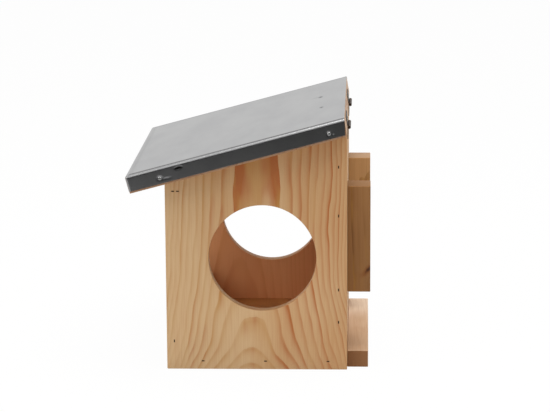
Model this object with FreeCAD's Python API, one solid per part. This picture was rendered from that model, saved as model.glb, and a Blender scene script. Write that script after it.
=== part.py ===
import FreeCAD, Part

import math
import os

from FreeCAD import Rotation, Vector

# Squirrel feeder box of pine boards: two side walls with a large round entrance hole each, a
# clear front pane between two narrow front boards, and a lid that is hinged at the back. The
# lid is a board under folded sheet metal. Three battens stand the box off its tree or wall.
#
# Millimetres. X runs from the front to the back, Y across the box and Z up. The origin is the
# centre of the underside of the box. The right-hand side, seen from the front, is at -Y.

# Box
box_depth = 180.0
box_width = 236.0
front_height = 192.0
roof_pitch = 15.0
side_thickness = 12.0
floor_thickness = 17.0
front_thickness = 17.0
back_thickness = 17.0
edge_easing = 0.8

# Entrance holes in the side walls
hole_diameter = 107.0
hole_height = 114.0
hole_from_front = 96.0

# Front: two boards with the pane in their grooves
front_board_height = 58.0
front_rail_height = 19.0
pane_thickness = 3.0
groove_depth = 5.0
groove_clearance = 0.2
pane_top_gap = 0.8
pane_side_gap = 0.5

# Lid board
lid_thickness = 17.0
lid_length = 221.0
lid_side_overhang = 22.3
lid_rear_rake = 9.5
lid_edge_chamfer = 1.0

# Sheet metal over the lid board
sheet_thickness = 0.7
sheet_bend_radius = 1.5
flange_height = 15.8
flange_rear_trim = 3.0
flange_corner_gap = 0.4

# Hinges
hinge_length = 36.0
hinge_inset = 48.0
hinge_pin_diameter = 1.5
leaf_thickness = 0.7
leaf_width = 12.0
leaf_corner_radius = 1.5
pin_running_clearance = 0.05
knuckle_end_gap = 0.3
knuckle_wood_gap = 0.3
knuckle_notch_gap = 0.4

# Battens on the back
upright_thickness = 23.0
upright_width = 31.0
upright_length = 108.0
upright_base = 74.0
upright_inset = 25.0
cross_thickness = 21.0
cross_height = 17.0
cross_inset = 10.5

# Brads of flat wire, which hold the boards
brad_wire_width = 1.4
brad_wire_thickness = 1.1
brad_head_width = 2.8
brad_head_thickness = 0.9
brad_head_stand = 0.1
brad_point = 2.0
side_brad_length = 32.0
batten_brad_length = 35.0

# Round nails through the sheet metal
nail_diameter = 1.6
nail_head_diameter = 3.4
nail_head_thickness = 0.6
nail_point = 2.5
nail_length = 14.0

# Hinge screws
screw_diameter = 2.4
screw_head_diameter = 4.4
screw_length = 11.0
screw_spacing = 22.0
screw_from_axis = 7.5
screw_hole_clearance = 0.1

# Brad and nail places: heights at the back and front, distances from the front of the box
back_brad_heights = [49.0, 82.0, 157.0, 206.0]
floor_brad_setbacks = [36.0, 98.5, 161.0]
front_board_brad_height = 29.0
front_board_brad_setback = 7.5
front_rail_brad_drop = 10.5
front_rail_brad_setbacks = [8.0, 12.8]
front_end_flange_nail_setback = -5.0
rear_end_flange_nail_inset = 20.0
flange_nail_drop = 10.5
front_flange_nail_inset = 40.0
upright_brad_end_distance = 20.0
cross_brad_end_distance = 30.0

# Flat facets around a nail or screw, how far a cut runs past its faces, how closely faces are sewn
fastener_facets = 16
overrun = 1.0
seam_tolerance = 0.001

# Places that follow from the sizes
x_front = -box_depth / 2
x_back = box_depth / 2
half_width = box_width / 2
inner_half_width = half_width - side_thickness
pitch = math.radians(roof_pitch)
rake = math.radians(lid_rear_rake)
up_slope = Vector(math.cos(pitch), 0, math.sin(pitch))
off_slope = Vector(-math.sin(pitch), 0, math.cos(pitch))
lid_half_width = half_width + lid_side_overhang
sheet_half_width = lid_half_width + sheet_thickness
knuckle_radius = hinge_pin_diameter / 2 + pin_running_clearance + leaf_thickness
axis_offset = knuckle_radius + knuckle_wood_gap
knuckle_pitch = hinge_length / 3


def wall_top(x):
    """Height of the sloping top of the walls at x."""
    return front_height + (x - x_front) * math.tan(pitch)


axis_x = x_back + axis_offset
axis_z = wall_top(x_back) + axis_offset * math.tan(rake / 2)


def upright_solid(outline, y_low, y_high):
    """Solid with an outline of (x, z) points between two Y planes."""
    points = [Vector(x, y_low, z) for x, z in outline]
    face = Part.Face(Part.makePolygon(points + points[:1]))
    return face.extrude(Vector(0, y_high - y_low, 0))


def block(x_range, y_range, z_range):
    """Rectangular solid between two planes on each axis."""
    size = [high - low for low, high in (x_range, y_range, z_range)]
    return Part.makeBox(*size, Vector(x_range[0], y_range[0], z_range[0]))


def cylinder_along_y(x, z, radius, y_low, y_high):
    """Cylinder about an axis that runs along Y."""
    return Part.makeCylinder(radius, y_high - y_low, Vector(x, y_low, z), Vector(0, 1, 0))


def mirrored(shape):
    """The same shape on the other side of the box."""
    return shape.mirror(Vector(0, 0, 0), Vector(0, 1, 0))


def straight_edges(shape, wanted):
    """The shape's straight edges whose two end points pass the test."""
    found = []
    for edge in shape.Edges:
        ends = [vertex.Point for vertex in edge.Vertexes]
        if len(ends) == 2 and wanted(ends[0], ends[1]):
            found.append(edge)
    return found


def near(a, b):
    """Whether two coordinates are the same."""
    return abs(a - b) < 0.001


# Walls, floor and front


def side_wall():
    """Right-hand wall: sloping top, round entrance hole, eased outer edges."""
    outline = [(x_front, 0), (x_back, 0), (x_back, wall_top(x_back)), (x_front, front_height)]
    wall = upright_solid(outline, -half_width, -inner_half_width)

    def outer_edge(start, end):
        on_outer_face = near(start.y, -half_width) and near(end.y, -half_width)
        return on_outer_face and (near(start.x, end.x) or near(start.z, end.z))

    wall = wall.makeFillet(edge_easing, straight_edges(wall, outer_edge))
    hole_x = x_front + hole_from_front
    hole = cylinder_along_y(
        hole_x, hole_height, hole_diameter / 2, -half_width - overrun, overrun - inner_half_width
    )
    return wall.cut(hole)


def floor_board():
    """Floor between the side walls, from the front board to the back of the box."""
    return block(
        (x_front + front_thickness, x_back),
        (-inner_half_width, inner_half_width),
        (0, floor_thickness),
    )


def back_wall():
    """Back board that stands on the floor, its top cut to the slope of the lid."""
    x_inner = x_back - back_thickness
    outline = [
        (x_inner, floor_thickness),
        (x_back, floor_thickness),
        (x_back, wall_top(x_back)),
        (x_inner, wall_top(x_inner)),
    ]
    return upright_solid(outline, -inner_half_width, inner_half_width)


def pane_groove(z_low, z_high):
    """Space of a groove for the pane, across the whole inner width."""
    middle = x_front + front_thickness / 2
    half = pane_thickness / 2 + groove_clearance
    return block((middle - half, middle + half), (-inner_half_width, inner_half_width), (z_low, z_high))


def front_lower_board():
    """Low board across the front, with the pane's lower groove in its top edge."""
    board = block(
        (x_front, x_front + front_thickness),
        (-inner_half_width, inner_half_width),
        (0, front_board_height),
    )
    return board.cut(pane_groove(front_board_height - groove_depth, front_board_height))


def front_top_rail():
    """Rail under the lid, with the pane's upper groove in its lower edge."""
    x_inner = x_front + front_thickness
    rail_bottom = front_height - front_rail_height
    outline = [
        (x_front, rail_bottom),
        (x_inner, rail_bottom),
        (x_inner, wall_top(x_inner)),
        (x_front, front_height),
    ]
    rail = upright_solid(outline, -inner_half_width, inner_half_width)
    return rail.cut(pane_groove(rail_bottom, rail_bottom + groove_depth))


def front_pane():
    """Clear pane, standing on the floor of the lower groove."""
    middle = x_front + front_thickness / 2
    half_pane_width = inner_half_width - pane_side_gap
    top = front_height - front_rail_height + groove_depth - pane_top_gap
    return block(
        (middle - pane_thickness / 2, middle + pane_thickness / 2),
        (-half_pane_width, half_pane_width),
        (front_board_height - groove_depth, top),
    )


# Battens


def eased_batten(x_range, y_range, z_range):
    """Batten against the back wall, with every edge eased but those on the wall."""
    batten = block(x_range, y_range, z_range)

    def off_the_wall(start, end):
        return not (near(start.x, x_back) and near(end.x, x_back))

    return batten.makeChamfer(edge_easing, straight_edges(batten, off_the_wall))


def upright_batten():
    """Right-hand upright, which stands the box off the trunk."""
    y_low = -half_width + upright_inset
    return eased_batten(
        (x_back, x_back + upright_thickness),
        (y_low, y_low + upright_width),
        (upright_base, upright_base + upright_length),
    )


def cross_batten():
    """Batten across the foot of the back."""
    half = half_width - cross_inset
    return eased_batten((x_back, x_back + cross_thickness), (-half, half), (0, cross_height))


# Lid

lid_rear_height = lid_thickness / math.cos(pitch) / (1 + math.tan(rake) * math.tan(pitch))
lid_top_rear = Vector(
    x_back - lid_rear_height * math.tan(rake), 0, wall_top(x_back) + lid_rear_height
)


def on_lid(forward, above):
    """Point in the plane of symmetry, from the top rear edge of the lid board."""
    return lid_top_rear - up_slope * forward + off_slope * above


def lid_outline():
    """The lid board's side view, as (x, z) points from its lower rear corner."""
    top_front = on_lid(lid_length, 0)
    bottom_front = on_lid(lid_length, -lid_thickness)
    return [
        (x_back, wall_top(x_back)),
        (lid_top_rear.x, lid_top_rear.z),
        (top_front.x, top_front.z),
        (bottom_front.x, bottom_front.z),
    ]


def roof_board():
    """Lid board, square at the front and raked at the back, eased under the sheet's bends."""
    board = upright_solid(lid_outline(), -lid_half_width, lid_half_width)
    front = on_lid(lid_length, 0)

    def under_a_bend(start, end):
        heights = [(point - lid_top_rear).dot(off_slope) for point in (start, end)]
        on_top = near(heights[0], 0) and near(heights[1], 0)
        rear_edge = near(start.x, lid_top_rear.x) and near(end.x, lid_top_rear.x)
        return on_top and not rear_edge and min(start.x, end.x) < front.x + 0.001

    return board.makeChamfer(lid_edge_chamfer, straight_edges(board, under_a_bend))


def roof_sheet():
    """Sheet folded down over both sides and the front, with open corner seams."""
    length = lid_length + sheet_thickness
    depth = flange_height
    outer = block(
        (-length, 0), (-sheet_half_width, sheet_half_width), (sheet_thickness - depth, sheet_thickness)
    )
    inner = block((-lid_length, overrun), (-lid_half_width, lid_half_width), (-depth, 0))

    def side_or_front_edge(height):
        def chosen(start, end):
            at_height = near(start.z, height) and near(end.z, height)
            return at_height and not (start.x > -overrun and end.x > -overrun)

        return chosen

    outer = outer.makeFillet(
        sheet_bend_radius, straight_edges(outer, side_or_front_edge(sheet_thickness))
    )
    inner = inner.makeFillet(
        sheet_bend_radius - sheet_thickness, straight_edges(inner, side_or_front_edge(0))
    )
    sheet = outer.cut(inner)

    below_bend = sheet_thickness - sheet_bend_radius
    for seam_y in (lid_half_width - flange_corner_gap, -lid_half_width):
        seam = block(
            (-length - overrun, -lid_length),
            (seam_y, seam_y + flange_corner_gap),
            (-depth - overrun, below_bend),
        )
        sheet = sheet.cut(seam)

    trim = upright_solid(
        [(0, below_bend), (overrun, below_bend), (overrun, -depth), (-flange_rear_trim, -depth)],
        -sheet_half_width - overrun,
        sheet_half_width + overrun,
    )
    sheet = sheet.cut(trim)
    sheet.rotate(Vector(0, 0, 0), Vector(0, 1, 0), -roof_pitch)
    sheet.translate(lid_top_rear)
    return sheet


# Hinges, modelled about their own pin, with the pin along Y and the wood at -X

knuckle_spans = [
    (-hinge_length / 2, -knuckle_pitch / 2 - knuckle_end_gap / 2),
    (-knuckle_pitch / 2 + knuckle_end_gap / 2, knuckle_pitch / 2 - knuckle_end_gap / 2),
    (knuckle_pitch / 2 + knuckle_end_gap / 2, hinge_length / 2),
]
box_knuckles = [knuckle_spans[0], knuckle_spans[2]]
lid_knuckles = [knuckle_spans[1]]


def hinge_leaf(own_knuckles, other_knuckles, bore_radius):
    """Leaf that hangs down from the pin: plate, rolled knuckles, countersunk holes."""
    plate_face = -axis_offset
    half = hinge_length / 2
    leaf = block((plate_face, plate_face + leaf_thickness), (-half, half), (-leaf_width, 0))

    def lower_corner(start, end):
        return near(start.y, end.y) and near(start.z, -leaf_width) and near(end.z, -leaf_width)

    leaf = leaf.makeFillet(leaf_corner_radius, straight_edges(leaf, lower_corner))

    notch_depth = knuckle_radius + knuckle_notch_gap
    for low, high in other_knuckles:
        notch = block(
            (plate_face - overrun, 0),
            (low - knuckle_end_gap, high + knuckle_end_gap),
            (-notch_depth, overrun),
        )
        leaf = leaf.cut(notch)
    for low, high in own_knuckles:
        leaf = leaf.fuse(cylinder_along_y(0, 0, knuckle_radius, low, high))
    leaf = leaf.cut(cylinder_along_y(0, 0, bore_radius, -half - overrun, half + overrun))

    for y in (-screw_spacing / 2, screw_spacing / 2):
        leaf = leaf.cut(screw_hole().translated(Vector(plate_face, y, -screw_from_axis)))
    return leaf.removeSplitter()


def screw_hole():
    """Countersunk hole along X, from the leaf's wood face outwards."""
    hole_radius = screw_diameter / 2 + screw_hole_clearance
    wide_radius = screw_head_diameter / 2 + screw_hole_clearance
    through = Part.makeCylinder(
        hole_radius, leaf_thickness + 2 * overrun, Vector(-overrun, 0, 0), Vector(1, 0, 0)
    )
    taper = wide_radius - hole_radius
    countersink = Part.makeCone(
        hole_radius, wide_radius, taper, Vector(leaf_thickness - taper, 0, 0), Vector(1, 0, 0)
    )
    return through.fuse(countersink)


def lid_side(shape):
    """Turn a shape that hangs down from the pin up against the raked end of the lid."""
    turned = shape.mirror(Vector(0, 0, 0), Vector(0, 0, 1))
    turned.rotate(Vector(0, 0, 0), Vector(0, 1, 0), -lid_rear_rake)
    return turned


def hinge_places():
    """Pin centres of the right-hand and left-hand hinges."""
    y = half_width - hinge_inset
    return {"right": Vector(axis_x, -y, axis_z), "left": Vector(axis_x, y, axis_z)}


def leaf_screws():
    """The two screws of one hanging leaf, about the pin."""
    face = -axis_offset + leaf_thickness
    screws = []
    for y in (-screw_spacing / 2, screw_spacing / 2):
        screws.append(driven(countersunk_screw(), Vector(face, y, -screw_from_axis), Vector(-1, 0, 0)))
    return Part.makeCompound(screws)


# Fasteners, modelled with the head at the origin and the point towards -Z


def turned_part(profile):
    """Nearly round solid about Z, with flat facets, from (radius, z) points of its outline."""
    step = 2 * math.pi / fastener_facets

    def ring_point(radius, z, number):
        return Vector(radius * math.cos(number * step), radius * math.sin(number * step), z)

    faces = []
    for (radius_a, z_a), (radius_b, z_b) in zip(profile[:-1], profile[1:]):
        for number in range(fastener_facets):
            corners = [ring_point(radius_a, z_a, number), ring_point(radius_b, z_b, number)]
            if radius_b > 0:
                corners.append(ring_point(radius_b, z_b, number + 1))
            if radius_a > 0:
                corners.append(ring_point(radius_a, z_a, number + 1))
            faces.append(Part.Face(Part.makePolygon(corners + corners[:1])))
    solid = Part.Solid(Part.Shell(faces))
    solid.fix(seam_tolerance, seam_tolerance, seam_tolerance)
    return solid.removeSplitter()


def brad(length):
    """Brad of flat wire with a T head, wide along X, its head a little proud of the wood."""
    head = brad_head_width / 2
    wire = brad_wire_width / 2
    under_head = brad_head_stand - brad_head_thickness
    outline = [
        (-head, brad_head_stand),
        (head, brad_head_stand),
        (head, under_head),
        (wire, under_head),
        (wire, brad_point - length),
        (0, -length),
        (-wire, brad_point - length),
        (-wire, under_head),
        (-head, under_head),
    ]
    return upright_solid(outline, -brad_wire_thickness / 2, brad_wire_thickness / 2)


def round_nail():
    """Short round nail with a flat head that lies on the sheet metal."""
    shank = nail_diameter / 2
    head = nail_head_diameter / 2
    return turned_part(
        [
            (0, nail_head_thickness),
            (head, nail_head_thickness),
            (head, 0),
            (shank, 0),
            (shank, nail_point - nail_length),
            (0, -nail_length),
        ]
    )


def countersunk_screw():
    """Flat-headed wood screw with a tapering shank."""
    shank = screw_diameter / 2
    head = screw_head_diameter / 2
    return turned_part([(0, 0), (head, 0), (shank, shank - head), (0, -screw_length)])


def driven(fastener, head_point, direction, turn=0):
    """Copy of a fastener at a point, driven along a direction and turned about its own axis."""
    copy = fastener.copy()
    aimed = Rotation(Vector(0, 0, -1), direction)
    copy.Placement = FreeCAD.Placement(head_point, aimed * Rotation(Vector(0, 0, 1), turn))
    return copy


def brads_in_sides(places, turn):
    """Brads through both side walls at (x, z) places; a turn of 90 stands their heads upright."""
    brads = []
    for x, z in places:
        head = Vector(x, -half_width, z)
        right = driven(brad(side_brad_length), head, Vector(0, 1, 0), turn)
        brads += [right, mirrored(right)]
    return brads


def back_wall_brads():
    """Upright brads along the back edge of both side walls."""
    x = x_back - back_thickness / 2
    return Part.makeCompound(brads_in_sides([(x, z) for z in back_brad_heights], 90))


def floor_brads():
    """Brads that lie level, along the foot of both side walls."""
    z = floor_thickness / 2
    places = [(x_front + setback, z) for setback in floor_brad_setbacks]
    return Part.makeCompound(brads_in_sides(places, 0))


def front_brads():
    """One upright brad into the low board and two level ones into the rail, on each side."""
    board_place = (x_front + front_board_brad_setback, front_board_brad_height)
    rail_z = front_height - front_rail_brad_drop
    rail_places = [(x_front + setback, rail_z) for setback in front_rail_brad_setbacks]
    return Part.makeCompound(brads_in_sides([board_place], 90) + brads_in_sides(rail_places, 0))


def batten_brads():
    """Two brads through each batten into the back of the box, flush so that it can be fixed flat."""
    places = []
    x_upright = x_back + upright_thickness - brad_head_stand
    x_cross = x_back + cross_thickness - brad_head_stand
    y_upright = half_width - upright_inset - upright_width / 2
    low = upright_base + upright_brad_end_distance
    high = upright_base + upright_length - upright_brad_end_distance
    y_cross = half_width - cross_inset - cross_brad_end_distance
    for side in (-1, 1):
        for z in (low, high):
            places.append(Vector(x_upright, side * y_upright, z))
        places.append(Vector(x_cross, side * y_cross, cross_height / 2))
    brads = [driven(brad(batten_brad_length), place, Vector(-1, 0, 0)) for place in places]
    return Part.makeCompound(brads)


def flange_nails():
    """Nails through the sheet's side flanges and its front flange into the lid board."""
    nails = []
    drop = sheet_thickness - flange_nail_drop
    for x in (x_front + front_end_flange_nail_setback, x_back - rear_end_flange_nail_inset):
        forward = (lid_top_rear.x - x) / math.cos(pitch)
        place = on_lid(forward, drop)
        head = Vector(place.x, -sheet_half_width, place.z)
        right = driven(round_nail(), head, Vector(0, 1, 0))
        nails += [right, mirrored(right)]
    front = on_lid(lid_length + sheet_thickness, drop)
    for side in (-1, 1):
        head = Vector(front.x, side * (sheet_half_width - front_flange_nail_inset), front.z)
        nails.append(driven(round_nail(), head, up_slope))
    return Part.makeCompound(nails)


def nodes():
    """Every node of the feeder, by name."""
    made = {
        "floor_board": floor_board(),
        "front_lower_board": front_lower_board(),
        "front_top_rail": front_top_rail(),
        "front_pane": front_pane(),
        "back_wall": back_wall(),
        "side_wall_right": side_wall(),
        "side_wall_left": mirrored(side_wall()),
        "upright_batten_right": upright_batten(),
        "upright_batten_left": mirrored(upright_batten()),
        "cross_batten": cross_batten(),
        "back_wall_brads": back_wall_brads(),
        "floor_brads": floor_brads(),
        "front_brads": front_brads(),
        "batten_brads": batten_brads(),
        "roof_board": roof_board(),
        "roof_sheet": roof_sheet(),
        "flange_nails": flange_nails(),
    }
    pin_radius = hinge_pin_diameter / 2
    box_leaf = hinge_leaf(box_knuckles, lid_knuckles, pin_radius)
    lid_leaf = lid_side(hinge_leaf(lid_knuckles, box_knuckles, pin_radius + pin_running_clearance))
    pin = cylinder_along_y(0, 0, pin_radius, -hinge_length / 2, hinge_length / 2)
    box_screws = []
    lid_screws = []
    for side, place in hinge_places().items():
        made["hinge_" + side + "_box_leaf"] = box_leaf.translated(place)
        made["hinge_" + side + "_lid_leaf"] = lid_leaf.translated(place)
        made["hinge_" + side + "_pin"] = pin.translated(place)
        box_screws.append(leaf_screws().translated(place))
        lid_screws.append(lid_side(leaf_screws()).translated(place))
    made["box_leaf_screws"] = Part.makeCompound(box_screws)
    made["lid_leaf_screws"] = Part.makeCompound(lid_screws)
    return made


def main():
    os.makedirs("parts", exist_ok=True)
    for name, shape in nodes().items():
        shape.exportStep("parts/" + name + ".step")
        print(name, "solids", len(shape.Solids), "valid", shape.isValid())
    print("hinge axis at x, z:", round(axis_x, 3), round(axis_z, 3))


main()
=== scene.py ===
"""Looks of the pine squirrel feeder box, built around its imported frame.

Lengths are metres in the frame of the box: X runs from its front to its back, Y across it and Z up.
Sizes of grain, dents and other surface detail are named in millimetres, as they are measured.
"""

import logging
import math
from abc import ABC, abstractmethod
from collections.abc import Sequence
from dataclasses import dataclass
from enum import Enum

import bmesh
import bpy
import numpy as np
from mathutils import Matrix, Vector


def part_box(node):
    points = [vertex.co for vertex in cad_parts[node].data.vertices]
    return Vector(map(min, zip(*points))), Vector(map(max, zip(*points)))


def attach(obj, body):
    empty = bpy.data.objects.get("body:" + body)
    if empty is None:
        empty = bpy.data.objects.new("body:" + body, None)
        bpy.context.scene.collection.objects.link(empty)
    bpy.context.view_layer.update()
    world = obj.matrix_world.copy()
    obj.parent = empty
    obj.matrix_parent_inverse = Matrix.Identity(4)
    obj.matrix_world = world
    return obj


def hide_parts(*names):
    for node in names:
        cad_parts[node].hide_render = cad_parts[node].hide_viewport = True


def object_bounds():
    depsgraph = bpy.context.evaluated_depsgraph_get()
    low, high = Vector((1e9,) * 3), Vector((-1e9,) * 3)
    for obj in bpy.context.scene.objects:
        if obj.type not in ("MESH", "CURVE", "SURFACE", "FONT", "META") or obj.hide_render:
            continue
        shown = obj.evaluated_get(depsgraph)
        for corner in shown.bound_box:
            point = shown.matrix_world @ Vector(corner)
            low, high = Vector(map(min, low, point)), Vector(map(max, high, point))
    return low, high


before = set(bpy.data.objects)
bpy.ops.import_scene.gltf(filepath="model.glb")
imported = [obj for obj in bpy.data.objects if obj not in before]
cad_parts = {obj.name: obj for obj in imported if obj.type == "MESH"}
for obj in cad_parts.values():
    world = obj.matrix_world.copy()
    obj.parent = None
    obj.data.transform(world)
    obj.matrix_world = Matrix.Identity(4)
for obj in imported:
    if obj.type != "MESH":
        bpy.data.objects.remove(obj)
CAD_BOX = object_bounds()

LOG = logging.getLogger("feeder")
MM = 0.001
TOUCHING = 1e-6
ROOF_PITCH = math.radians(15)
EASE_STEPS = 3
TURNED_SIDES = 32
MARKS = "marks"
WHITE = "ffffff"

Points = np.ndarray
Faces = np.ndarray
Pair = tuple[float, float]
Triple = tuple[float, float, float]
Material = bpy.types.Material
Tree = bpy.types.NodeTree
Node = bpy.types.Node
Socket = bpy.types.NodeSocket
Source = Node | Socket
Inputs = dict[str, object] | Sequence[object]


class Body(Enum):
    """The two bodies that pieces ride on."""

    BOX = "box"
    LID = "lid"


class Grain(Enum):
    """Which axes run across the rings, into the board and along its fibres."""

    SIDE_UPRIGHT = ("X", "Y", "Z")
    BACK_UPRIGHT = ("Y", "X", "Z")
    LEVEL = ("X", "Z", "Y")
    ON_EDGE = ("Z", "X", "Y")


def linear(hex_colour: str) -> tuple[float, ...]:
    """Turns an sRGB colour such as "c9a27a" into linear red, green, blue and alpha.

    Args:
        hex_colour: six hex digits.

    Returns:
        The linear colour that shader sockets take.
    """
    shares = [int(hex_colour[i : i + 2], 16) / 255 for i in (0, 2, 4)]
    curved = [s / 12.92 if s <= 0.04045 else ((s + 0.055) / 1.055) ** 2.4 for s in shares]
    return (*curved, 1.0)


def add_node(tree: Tree, kind: str, inputs: Inputs = (), **settings: object) -> Node:
    """Adds one shader node, sets its properties and fills or links its inputs.

    Args:
        tree: the material's or world's node tree.
        kind: the node's type without the leading "ShaderNode".
        inputs: what goes into the sockets, by their names or in the order of those in use. A
            node links its first output in use, and text is an sRGB colour.
        **settings: properties of the node itself.

    Returns:
        The new node.
    """
    node = tree.nodes.new("ShaderNode" + kind)
    for name, value in settings.items():
        setattr(node, name, value)
    if isinstance(inputs, dict):
        filled = [(node.inputs[name], value) for name, value in inputs.items()]
    else:
        filled = zip([socket for socket in node.inputs if socket.enabled], inputs)
    for socket, value in filled:
        if isinstance(value, Node):
            value = next(output for output in value.outputs if output.enabled)
        if isinstance(value, Socket):
            tree.links.new(value, socket)
        else:
            socket.default_value = linear(value) if isinstance(value, str) else value
    return node


def weighted_sum(tree: Tree, start: Source | float, *terms: tuple[Source | float, float]) -> Source:
    """Adds further values to a value, each times its weight.

    Args:
        tree: the node tree.
        start: the value to add to.
        *terms: a value and its weight each.

    Returns:
        The sum.
    """
    for value, weight in terms:
        start = add_node(tree, "Math", [value, weight, start], operation="MULTIPLY_ADD")
    return start


def set_ramp(node: Node, stops: Sequence[tuple[float, tuple[float, ...]]]) -> None:
    """Gives a colour ramp its stops.

    Args:
        node: the colour ramp.
        stops: places from 0 to 1, each with a linear colour, in rising order.
    """
    elements = node.color_ramp.elements
    while len(elements) < len(stops):
        elements.new(1.0)
    for element, (place, colour) in zip(elements, stops):
        element.position = place
        element.color = colour


def new_material(name: str) -> tuple[Material, Tree]:
    """Makes an empty node material.

    Args:
        name: what the real finish is.

    Returns:
        The material and its node tree.
    """
    material = bpy.data.materials.new(name)
    material.use_nodes = True
    material.node_tree.nodes.clear()
    return material, material.node_tree


class Finish(ABC):
    """Finish that makes its own material: one principled surface under a pattern of its own."""

    name: str

    def build(self) -> Material:
        """Builds the finish.

        Returns:
            The material, whose pattern lies in the piece's own object coordinates.
        """
        material, tree = new_material(self.name)
        pattern = self._pattern(tree, add_node(tree, "TexCoord"))
        shader = add_node(tree, "BsdfPrincipled", pattern)
        add_node(tree, "OutputMaterial", {"Surface": shader})
        return material

    @abstractmethod
    def _pattern(self, tree: Tree, coordinates: Node) -> dict[str, object]:
        """Adds the nodes of the finish's pattern.

        Args:
            tree: the material's node tree.
            coordinates: its texture coordinates.

        Returns:
            What goes into the sockets of the surface, by their names.
        """


@dataclass(frozen=True)
class Swell:
    """Place where the rings of a board rise or sink, as they do beside a buried branch.

    The middle and the reach are millimetres across the rings and along the fibres. The rise is
    what it adds to the distance from the pith at its middle, in millimetres.
    """

    middle: Pair
    reach: Pair
    rise: float


@dataclass(frozen=True)
class BoardNodes:
    """Node tree of a board's wood, with the millimetres and the facing that it is drawn by."""

    tree: Tree
    millimetres: Node
    grain: Node
    facing: Node
    across: Socket
    inward: Socket
    along: Socket


@dataclass(frozen=True)
class Noise:
    """Size of a noise's blobs across, into and along a board, and how many finer layers it has."""

    size: Triple
    detail: float


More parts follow.
